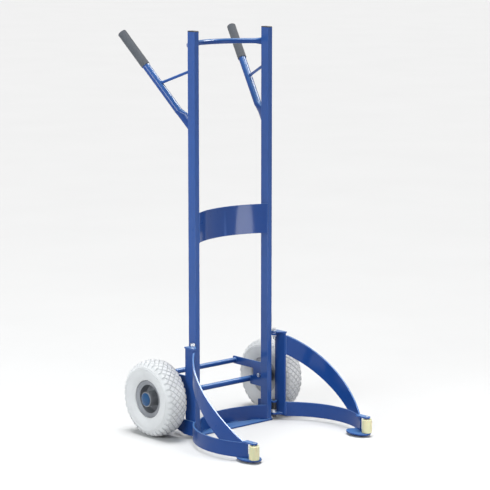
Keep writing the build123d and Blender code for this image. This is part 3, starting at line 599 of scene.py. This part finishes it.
def beads(bm, path, scale=1.0):
    """Lay a chain of overlapping drops of weld along a path."""
    radius = scale * sizes().bead_radius
    chain = bmesh.new()
    for start, end in zip(path, path[1:]):
        start, end = Vector(start), Vector(end)
        count = max(1, round((end - start).length / (BEAD_STEP * radius)))
        for step in range(count):
            moved = Matrix.Translation(start.lerp(end, (step + 0.5) / count))
            bmesh.ops.create_uvsphere(chain, matrix=moved, **BEAD_MESH,
                                      radius=radius * BEAD_CHANCE.uniform(*BEAD_SPREAD))
    absorb(bm, chain)


# Operators

class TROLLEY_OT_frame_steel(bpy.types.Operator):
    """Dress the uprights, cross members, brackets, bars, ears and handles"""
    bl_idname = "trolley.frame_steel"
    bl_label = "Frame steel"

    def execute(self, context):
        plate, bar, small = sizes().plate_edge, sizes().bar_edge, sizes().small_edge
        edges = {"toe_plate": bar, "lower_bow": bar, "back_plate": plate, "top_bow_tube": small,
                 "foot_bar": small, "axle": small}
        for side in SIDES:
            edges[f"{side}_upright"] = 0
            edges[f"{side}_side_bracket"] = plate
            edges[f"{side}_hinge_ears"] = plate
            edges[f"{side}_handle"] = 0
            edges[f"{side}_handle_brace"] = 0
        for node, radius in edges.items():
            dress(node, radius)
        return {"FINISHED"}


class TROLLEY_OT_arm_steel(bpy.types.Operator):
    """Round the edges of the gripping arms' posts, ears, bars, strips and plates"""
    bl_idname = "trolley.arm_steel"
    bl_label = "Arm steel"

    def execute(self, context):
        plate, bar = sizes().plate_edge, sizes().bar_edge
        edges = {"arm_post": bar, "arm_top_ear": plate, "arm_bottom_ear": plate, "arm_lower_bar": bar,
                 "arm_upper_strip": bar, "roller_tab": plate, "roller_support": plate}
        for side in SIDES:
            for node, radius in edges.items():
                dress(f"{side}_{node}", radius)
        return {"FINISHED"}


class TROLLEY_OT_small_pieces(bpy.types.Operator):
    """Round the edges of the end caps, washers, nuts, pins and other small pieces"""
    bl_idname = "trolley.small_pieces"
    bl_label = "Small pieces"

    def execute(self, context):
        nodes = ["upright_end_caps", "bracket_bolts", "bracket_nuts", "axle_washers",
                 "axle_retaining_rings", "upper_hinge_nuts", "upper_hinge_washers", "upper_hinge_bolts"]
        for side in SIDES:
            nodes += [f"{side}_{name}" for name in (
                "lower_hinge_bolt", "lower_hinge_nut", "roller_pin", "foot_pin", "wheel_bearings")]
        for node in nodes:
            dress(node, sizes().small_edge)
        return {"FINISHED"}


class TROLLEY_OT_grips(bpy.types.Operator):
    """Copy the foam grips with their rounded ends"""
    bl_idname = "trolley.grips"
    bl_label = "Grips"

    def execute(self, context):
        for side in SIDES:
            dress(f"{side}_grip")
        return {"FINISHED"}


class TROLLEY_OT_springs(bpy.types.Operator):
    """Wind the torsion springs round the arms' lower hinge bolts"""
    bl_idname = "trolley.springs"
    bl_label = "Springs"

    def execute(self, context):
        for side, sign in SIDES.items():
            node = f"{side}_arm_spring"
            low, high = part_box(node)
            hinge = Vector(JOINTS[f"{side}_arm_swing"]["pos_m"])
            wire = sizes().spring_wire / 2
            bottom, top = low.z + wire, high.z - wire
            bm = self.coil(hinge, bottom, top, wire, sign)
            piece = keep(f"{side}_spring_coil", bm, None, SLOT_OF[node], [node])
            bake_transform(piece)
        return {"FINISHED"}

    def coil(self, hinge, bottom, top, wire, sign):
        """Wind a round wire upwards about a hinge, with a straight leg at each end."""
        turns = sizes().spring_turns
        steps = round(turns * SPRING_STEPS)
        rise = Vector((0, 0, (top - bottom) / steps))
        start = Vector((hinge.x + SPRING_RADIUS, hinge.y, bottom))
        bm = bmesh.new()
        ring = bmesh.ops.create_circle(bm, segments=WIRE_SIDES, radius=wire)["verts"]
        bmesh.ops.rotate(bm, verts=ring, cent=(0, 0, 0), matrix=Matrix.Rotation(math.pi / 2, 3, "X"))
        bmesh.ops.translate(bm, verts=ring, vec=start)
        first = bm.edges[:]
        turned = bmesh.ops.spin(bm, geom=ring + first, cent=(hinge.x, hinge.y, 0), axis=(0, 0, -sign),
                                dvec=rise, angle=FULL_TURN * turns, steps=steps)
        last = [edge for edge in turned["geom_last"] if isinstance(edge, bmesh.types.BMEdge)]
        for end in (last, first):
            self.leg(bm, end, Vector((0, sign, 0)))
        bmesh.ops.recalc_face_normals(bm, faces=bm.faces)
        return bm

    def leg(self, bm, edges, direction):
        """Draw the wire's end out along a direction and close it."""
        out = bmesh.ops.extrude_edge_only(bm, edges=edges)["geom"]
        verts = [part for part in out if isinstance(part, bmesh.types.BMVert)]
        bmesh.ops.translate(bm, verts=verts, vec=direction * SPRING_LEG)
        open_edges = [part for part in out if isinstance(part, bmesh.types.BMEdge)
                      and len(part.link_faces) == 1]
        bmesh.ops.contextual_create(bm, geom=open_edges)


class TROLLEY_OT_rollers(bpy.types.Operator):
    """Turn the nylon rollers at the arms' tips"""
    bl_idname = "trolley.rollers"
    bl_label = "Rollers"

    def execute(self, context):
        for side in SIDES:
            node = f"{side}_roller"
            low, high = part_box(node)
            upper = self.upper_half((high.z - low.z) / 2, (high.x - low.x) / 2)
            lower = [(-along, reach) for along, reach in reversed(upper)]
            bm = bmesh.new()
            turn(bm, upper + lower, (low + high) / 2, (0, 0, 1), ROLLER_STEPS)
            stand_for(node, f"{side}_nylon_roller", bm)
        return {"FINISHED"}

    def upper_half(self, half, radius):
        """Section of a roller's upper half: its dished end and its rounded edge."""
        floor = half - ROLLER_DISH
        inner, outer = ROLLER_DISH_RADII
        middle = (half - ROLLER_EDGE_MIDDLE, radius - ROLLER_EDGE_MIDDLE)
        start, end = (half, radius - ROLLER_EDGE), (half - ROLLER_EDGE, radius)
        edge = arc(start, middle, end, ROLLER_EDGE_STEPS)
        return [(floor, ROLLER_BORE), (floor, inner), (half, outer), *edge]


class TROLLEY_OT_tyres(bpy.types.Operator):
    """Build the white tyres: a turned carcass, diamond tread blocks and shoulder lugs"""
    bl_idname = "trolley.tyres"
    bl_label = "Tyres"

    def execute(self, context):
        for side in SIDES:
            node = f"{side}_tyre"
            low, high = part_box(node)
            self.centre = (low + high) / 2
            self.radius = (high.z - low.z) / 2
            bm = bmesh.new()
            self.carcass(bm)
            self.blocks(bm)
            for shoulder in (-1, 1):
                self.lugs(bm, shoulder)
            stand_for(node, f"{side}_block_tyre", bm)
        return {"FINISHED"}

    def crown(self, along):
        """Radius of the tread's surface at a place across the tyre."""
        return self.radius - CROWN_RADIUS + math.sqrt(CROWN_RADIUS**2 - along**2)

    def ring_height(self, reach):
        """How far the moulded rings stand out of a side wall at a radius."""
        return sum(RING_HEIGHT * math.exp(-((reach - ring) / RING_WIDTH)**2) for ring in RINGS)

    def carcass(self, bm):
        """Turn the bead, the smooth sides with their moulded rings, and the floor of the tread."""
        groove_shade_mask = bm.verts.layers.float.new("groove_shade_mask")
        side_wall = [(along + self.ring_height(reach), reach)
                     for along, reach in arc(*SIDE_WALL, SIDE_STEPS) if reach < SLOT_FOOT[1]]
        half = [*BEAD_SEAT, *side_wall, SLOT_FOOT]
        crown = (0, self.radius - sizes().tread_depth)
        floor = arc(SLOT_TOP, crown, (-SLOT_TOP[0], SLOT_TOP[1]), FLOOR_STEPS)
        mirrored = [(-along, reach) for along, reach in reversed(half)]
        turn(bm, half + floor + mirrored, self.centre, (1, 0, 0), CARCASS_STEPS * sizes().tread_repeats)
        # Mark the tread's floor, where the tyre's material paints shade into the grooves
        for vert in bm.verts:
            reach = math.hypot(vert.co.y - self.centre.y, vert.co.z - self.centre.z)
            vert[groove_shade_mask] = float(reach > SLOT_FOOT[1] + BLOCK_ROOT)

    def bend(self, bm, along, phase):
        """Wrap a flat shape onto the tread: across it, and part of a repeat round it from the top."""
        for vert in bm.verts:
            reach = self.crown(along + vert.co.x) + vert.co.z
            angle = phase * FULL_TURN / sizes().tread_repeats + vert.co.y / self.radius
            turned = Vector((along + vert.co.x, reach * math.sin(angle), reach * math.cos(angle)))
            vert.co = self.centre + turned

    def sweep(self, bm, angle, steps, **settings):
        """Spin the whole of a bmesh about the tyre's axis."""
        bmesh.ops.spin(bm, geom=bm.verts[:] + bm.edges[:] + bm.faces[:], cent=self.centre,
                       axis=(1, 0, 0), angle=angle, steps=steps, **settings)

    def repeat(self, bm):
        """Repeat a shape round the tyre."""
        count = sizes().tread_repeats
        self.sweep(bm, FULL_TURN * (count - 1) / count, count - 1, use_duplicate=True)

    def block(self, corners, half, along, phase, turned=0.0):
        """A ring of tapered blocks, each with a domed top and softened edges."""
        depth = sizes().tread_depth + BLOCK_ROOT
        bm = bmesh.new()
        bmesh.ops.create_cone(bm, cap_ends=True, segments=corners, radius1=1.0, radius2=BLOCK_TAPER,
                              depth=depth)
        bmesh.ops.rotate(bm, verts=bm.verts, cent=(0, 0, 0), matrix=Matrix.Rotation(turned, 3, "Z"))
        bmesh.ops.scale(bm, vec=(*half, 1.0), verts=bm.verts)
        bmesh.ops.translate(bm, vec=(0, 0, -depth / 2), verts=bm.verts)
        tops = [edge for edge in bm.edges if all(vert.co.z > -depth / 2 for vert in edge.verts)]
        round_edges(bm, tops, BLOCK_EDGE, segments=1)
        top = max(bm.faces, key=lambda face: face.calc_center_median().z)
        bmesh.ops.poke(bm, faces=[top])
        self.bend(bm, along, phase)
        self.repeat(bm)
        return bm

    def blocks(self, bm):
        """Rows of diamond blocks, every other row half a repeat on."""
        rows = sizes().tread_rows
        for row in range(-rows, rows + 1):
            phase = (row + 1) % 2 / 2
            absorb(bm, self.block(corners=4, half=BLOCK_HALF, along=row * ROW_PITCH, phase=phase))

    def lugs(self, bm, shoulder):
        """Bars over one shoulder, each with a pointed end that lies between two blocks."""
        side = [point for point in arc(*SIDE_WALL, SIDE_STEPS) if SLOT_FOOT[1] < point[1] < LUG_EDGE]
        outline = [SLOT_FOOT, *side, (LUG_START, self.crown(LUG_START)), (LUG_START, SLOT_TOP[1])]
        lug = bmesh.new()
        points = [Vector((shoulder * along, 0, reach)) for along, reach in outline]
        ring = [lug.verts.new(self.centre + point) for point in points]
        bmesh.ops.contextual_create(lug, geom=ring)
        half_back = Matrix.Rotation(-LUG_TURN / 2, 3, "X")
        bmesh.ops.rotate(lug, verts=ring, cent=self.centre, matrix=half_back)
        self.sweep(lug, LUG_TURN, LUG_STEPS)
        bmesh.ops.recalc_face_normals(lug, faces=lug.faces)
        self.repeat(lug)
        absorb(bm, lug)
        absorb(bm, self.block(corners=3, half=LUG_TIP_HALF, along=shoulder * LUG_TIP, phase=0.0,
                              turned=shoulder * FULL_TURN / 4))


class TROLLEY_OT_rims(bpy.types.Operator):
    """Turn the dished rims, their hub sleeves and the domed caps"""
    bl_idname = "trolley.rims"
    bl_label = "Rims"

    def execute(self, context):
        for side, sign in SIDES.items():
            low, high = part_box(f"{side}_tyre")
            centre = (low + high) / 2
            rim = bmesh.new()
            turn(rim, self.rim_outline(), centre, (sign, 0, 0), RIM_STEPS)
            stand_for(f"{side}_rim", f"{side}_pressed_rim", rim)
            cap = bmesh.new()
            turn(cap, self.cap_outline(), centre, (sign, 0, 0), CAP_STEPS, closed=False)
            stand_for(f"{side}_hub_cap", f"{side}_domed_cap", cap)
        return {"FINISHED"}

    def rim_outline(self):
        """Section of a rim: outer lip, web, hub, inner lip, and back along the tyre's seat."""
        outer = [(30.0, 62.8), (31.9, 62.5), (32.5, 61.6), (28.2, 50.2)]
        outer += arc((27.6, 48.8), (26.8, 47.9), (25.6, 47.8), 4)
        outer += arc((2.0, 47.8), (-2.3, 46.0), (-4.0, 41.8), 6)
        outer += [(-4.0, 40.0), (-3.0, 38.6), (-3.0, 33.0), (-4.0, 31.6)]
        outer += arc((-4.0, 28.0), (-3.1, 25.9), (-1.0, 25.0), 5)
        hub = [(40.2, 25.0), (41.0, 24.2), (41.0, 21.5), (40.5, 21.0), (-37.5, 21.0), (-38.0, 21.5),
               (-38.0, 24.2), (-37.2, 25.0)]
        inner = arc((-11.0, 25.0), (-8.9, 25.9), (-8.0, 28.0), 5)
        inner += arc((-8.0, 41.8), (-9.7, 46.0), (-14.0, 47.8), 6)
        inner += [(-27.0, 47.8), (-32.5, 61.6), (-31.9, 62.5), (-30.0, 62.8)]
        seat = [(-29.4, 62.6), (-24.0, 50.8), (24.0, 50.8), (29.4, 62.6)]
        return [mm(*point) for point in outer + hub + inner + seat]

    def cap_outline(self):
        """Section of a cap: its dome, its edge on the hub and the plug inside it."""
        dome = arc((46.8, 0.0), (45.65, 11.5), (42.9, 21.4), 14)
        plug = [(42.4, 22.0), (41.2, 22.0), (41.2, 20.9), (36.6, 20.9), (36.6, 18.7), (41.1, 18.7),
                (44.2, 11.2), (44.2, 0.0)]
        return [mm(*point) for point in dome + plug]


class TROLLEY_OT_welds(bpy.types.Operator):
    """Lay the weld beads of the frame and of the arms"""
    bl_idname = "trolley.welds"
    bl_label = "Welds"

    def execute(self, context):
        bm = bmesh.new()
        self.cross_members(bm)
        for side, sign in SIDES.items():
            self.upright(bm, side, sign)
        keep("frame_weld_beads", bm, "frame", "blue_paint")
        for side, sign in SIDES.items():
            bm = bmesh.new()
            self.arm(bm, side, sign)
            keep(f"{side}_arm_weld_beads", bm, f"{side}_arm", "blue_paint")
        return {"FINISHED"}

    def cross_members(self, bm):
        """Ends of the bowed bars on the uprights, and stitches of the lower bow on the toe plate."""
        for node in ("lower_bow", "back_plate"):
            low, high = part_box(node)
            for x in (low.x, high.x):
                beads(bm, [(x, low.y, low.z), (x, low.y, high.z)], FINE_BEAD)
        low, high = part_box("lower_bow")
        radius = (high.x**2 + BOW_DEPTH**2) / (2 * BOW_DEPTH)
        centre = (0, low.y + BOW_DEPTH - radius, low.z)
        for angle in STITCHES:
            beads(bm, oval(centre, (0, radius, 0), (radius, 0, 0),
                           angle - STITCH_HALF, angle + STITCH_HALF, STITCH_STEPS))

    def upright(self, bm, side, sign):
        """Foot of an upright, and the tubes, bracket and ears that it carries."""
        low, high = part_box(f"{side}_upright")
        beads(bm, [(low.x, high.y, low.z), low, (high.x, low.y, low.z), (high.x, high.y, low.z)])
        middle = (low.x + high.x) / 2
        for height, half_height, half_width in FEET:
            foot = oval((middle, high.y, height), (half_width, 0, 0), (0, 0, half_height))
            beads(bm, foot, FINE_BEAD)
        beads(bm, oval(*((sign * x, y, z) for x, y, z in BRACE_HEAD)), FINE_BEAD)
        plate_low, plate_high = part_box(f"{side}_side_bracket")
        for x in (plate_low.x, plate_high.x):
            beads(bm, [(x, plate_low.y, plate_low.z), (x, plate_low.y, plate_high.z)], FINE_BEAD)
        inside = plate_low.x if sign > 0 else plate_high.x
        for node, end in (("foot_bar", FULL_TURN), ("axle", FULL_TURN / 2)):
            bar_low, bar_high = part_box(node)
            half = (bar_high.z - bar_low.z) / 2
            centre = (inside, bar_low.y + half, bar_low.z + half)
            beads(bm, oval(centre, (0, 0, half), (0, -half, 0), 0.0, end), FINE_BEAD)
        outside = high.x if sign > 0 else low.x
        ears_low, ears_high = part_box(f"{side}_hinge_ears")
        for height in (ears_low.z + EAR_THICKNESS, ears_high.z - EAR_THICKNESS):
            beads(bm, [(outside, low.y + along, height) for along in EAR_WELD], FINE_BEAD)

    def arm(self, bm, side, sign):
        """Ears, strip and bar on an arm's post, the strip's toe and the roller's plate."""
        low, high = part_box(f"{side}_arm_post")
        for x in (low.x, high.x):
            beads(bm, [(x, low.y, high.z), (x, high.y, high.z)], FINE_BEAD)
        ear_low, ear_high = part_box(f"{side}_arm_bottom_ear")
        inside, outside = (low.x, high.x) if sign > 0 else (high.x, low.x)
        beads(bm, [(inside, ear_low.y, ear_high.z), (inside, ear_high.y, ear_high.z)], FINE_BEAD)
        bar_low, bar_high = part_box(f"{side}_arm_lower_bar")
        strip_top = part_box(f"{side}_arm_upper_strip")[1].z
        beads(bm, [(outside, low.y, STRIP_FOOT), (outside, low.y, strip_top)])
        beads(bm, [(outside, low.y, low.z), (outside, low.y, bar_high.z)])
        inner, outer = ARM_FACES
        for radius, height, stretch in ((inner, bar_high.z, TOE_TURN), (outer, bar_high.z, TOE_TURN),
                                        (inner, bar_low.z, SUPPORT_TURN)):
            centre = (sign * ARM_CENTRE[0], ARM_CENTRE[1], height)
            beads(bm, oval(centre, (sign * radius, 0, 0), (0, radius, 0), *stretch), FINE_BEAD)


class TROLLEY_OT_threads(bpy.types.Operator):
    """Cut the threads on the tails of the hinge and bracket bolts"""
    bl_idname = "trolley.threads"
    bl_label = "Bolt threads"

    def execute(self, context):
        hinges = bmesh.new()
        brackets = bmesh.new()
        tail_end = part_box("upper_hinge_bolts")[0].z
        nut_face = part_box("upper_hinge_nuts")[0].z
        plate_low, plate_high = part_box("bracket_bolts")
        plate_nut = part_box("bracket_nuts")[1].x
        middle = (plate_low + plate_high) / 2
        for side, sign in SIDES.items():
            hinge = Vector(JOINTS[f"{side}_arm_swing"]["pos_m"])
            thread(hinges, (hinge.x, hinge.y, nut_face), (0, 0, -1), UPPER_BOLT + THREAD_RIDGE,
                   nut_face - tail_end)
            thread(brackets, (sign * plate_nut, middle.y, middle.z), (sign, 0, 0),
                   BRACKET_BOLT + THREAD_RIDGE, plate_high.x - plate_nut)
            node = f"{side}_lower_hinge_bolt"
            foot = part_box(node)[0].z
            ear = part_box(f"{side}_arm_bottom_ear")[0].z
            tail = bmesh.new()
            thread(tail, (hinge.x, hinge.y, ear), (0, 0, -1), LOWER_BOLT + THREAD_RIDGE, ear - foot)
            keep(f"{side}_hinge_thread", tail, BODY_OF[node], SLOT_OF[node])
        keep("upper_hinge_threads", hinges, "frame", SLOT_OF["upper_hinge_bolts"])
        keep("bracket_bolt_threads", brackets, "frame", SLOT_OF["bracket_bolts"])
        return {"FINISHED"}


class TROLLEY_OT_stage(bpy.types.Operator):
    """Set the floor, the soft lights and the camera"""
    bl_idname = "trolley.stage"
    bl_label = "Stage"

    def execute(self, context):
        scene = context.scene
        scene.view_settings.view_transform = "Standard"
        self.floor(scene)
        for name, settings in LIGHTS.items():
            self.light(scene, name, **settings)
        self.sun(scene)
        self.world(scene)
        self.camera(scene)
        return {"FINISHED"}

    def floor(self, scene):
        """A wide pale disk just below the trolley."""
        finish = new_finish("studio_floor", Specular_IOR_Level=0.1)
        tint(finish, mottle(finish, colours().floor, scale=1.5, dark=0.99, light=1.01))
        roughen(finish, scale=40.0, low=0.75, high=0.85)
        bm = bmesh.new()
        bmesh.ops.create_circle(bm, cap_ends=True, segments=FLOOR_SIDES, radius=FLOOR_RADIUS)
        bmesh.ops.translate(bm, verts=bm.verts, vec=(0, 0, -FLOOR_DROP))
        mesh = bpy.data.meshes.new("studio_floor")
        bm.to_mesh(mesh)
        bm.free()
        mesh.materials.append(finish.material)
        floor = bpy.data.objects.new("studio_floor", mesh)
        scene.collection.objects.link(floor)

    def light(self, scene, name, spot, target, size, power, colour=(1.0, 1.0, 1.0), shine_only=False):
        """A round soft light at a spot, turned towards its target."""
        lamp = bpy.data.lights.new(name, "AREA")
        lamp.shape = "DISK"
        lamp.size = size
        lamp.energy = power
        lamp.color = colour
        holder = bpy.data.objects.new(name, lamp)
        holder.location = spot
        holder.rotation_euler = (Vector(target) - Vector(spot)).to_track_quat("-Z", "Y").to_euler()
        holder.visible_camera = False
        holder.visible_diffuse = not shine_only
        scene.collection.objects.link(holder)

    def sun(self, scene):
        """Wide light from straight above."""
        lamp = bpy.data.lights.new("overhead", "SUN")
        lamp.energy = SUN_STRENGTH
        lamp.angle = SUN_ANGLE
        scene.collection.objects.link(bpy.data.objects.new("overhead", lamp))

    def world(self, scene):
        """White surroundings, brightest along the horizon for the shine on top edges."""
        world = bpy.data.worlds.new("studio")
        world.use_nodes = True
        tree = world.node_tree
        background = tree.nodes["Background"]
        background.inputs["Color"].default_value = (1.0, 1.0, 1.0, 1.0)
        strength = spread(tree, height_of(tree, "Generated"), *SKY_STRENGTH, *SKY_HEIGHT)
        tree.links.new(strength, background.inputs["Strength"])
        scene.world = world

    def camera(self, scene):
        """The camera at the photograph's viewing angle."""
        lens = bpy.data.cameras.new("camera")
        lens.lens = CAMERA_LENS
        lens.sensor_width = CAMERA_SENSOR
        lens.clip_end = CAMERA_REACH
        holder = bpy.data.objects.new("camera", lens)
        holder.location = CAMERA_PLACE
        holder.rotation_euler = CAMERA_TURN
        scene.collection.objects.link(holder)
        scene.camera = holder


class TROLLEY_PT_panel(bpy.types.Panel):
    """Lists the trolley's operators, sizes and colours"""
    bl_idname = "TROLLEY_PT_panel"
    bl_label = "Tyre trolley"
    bl_space_type = "VIEW_3D"
    bl_region_type = "UI"
    bl_category = "Trolley"

    def draw(self, context):
        for operator in OPERATORS:
            self.layout.operator(operator.bl_idname)
        for group in (context.scene.trolley_sizes, context.scene.trolley_colours):
            for name in group.__annotations__:
                self.layout.prop(group, name)


OPERATORS = (TROLLEY_OT_frame_steel, TROLLEY_OT_arm_steel, TROLLEY_OT_small_pieces, TROLLEY_OT_grips,
             TROLLEY_OT_springs, TROLLEY_OT_rollers, TROLLEY_OT_tyres, TROLLEY_OT_rims, TROLLEY_OT_welds,
             TROLLEY_OT_threads, TROLLEY_OT_stage)
CLASSES = (TrolleyColours, TrolleySizes, *OPERATORS, TROLLEY_PT_panel)


def register():
    for cls in CLASSES:
        bpy.utils.register_class(cls)
    bpy.types.Scene.trolley_colours = PointerProperty(type=TrolleyColours)
    bpy.types.Scene.trolley_sizes = PointerProperty(type=TrolleySizes)


def unregister():
    del bpy.types.Scene.trolley_sizes
    del bpy.types.Scene.trolley_colours
    for cls in reversed(CLASSES):
        bpy.utils.unregister_class(cls)


def main():
    register()
    for operator in OPERATORS:
        group, name = operator.bl_idname.split(".")
        getattr(getattr(bpy.ops, group), name)()


if __name__ == "__main__":
    main()
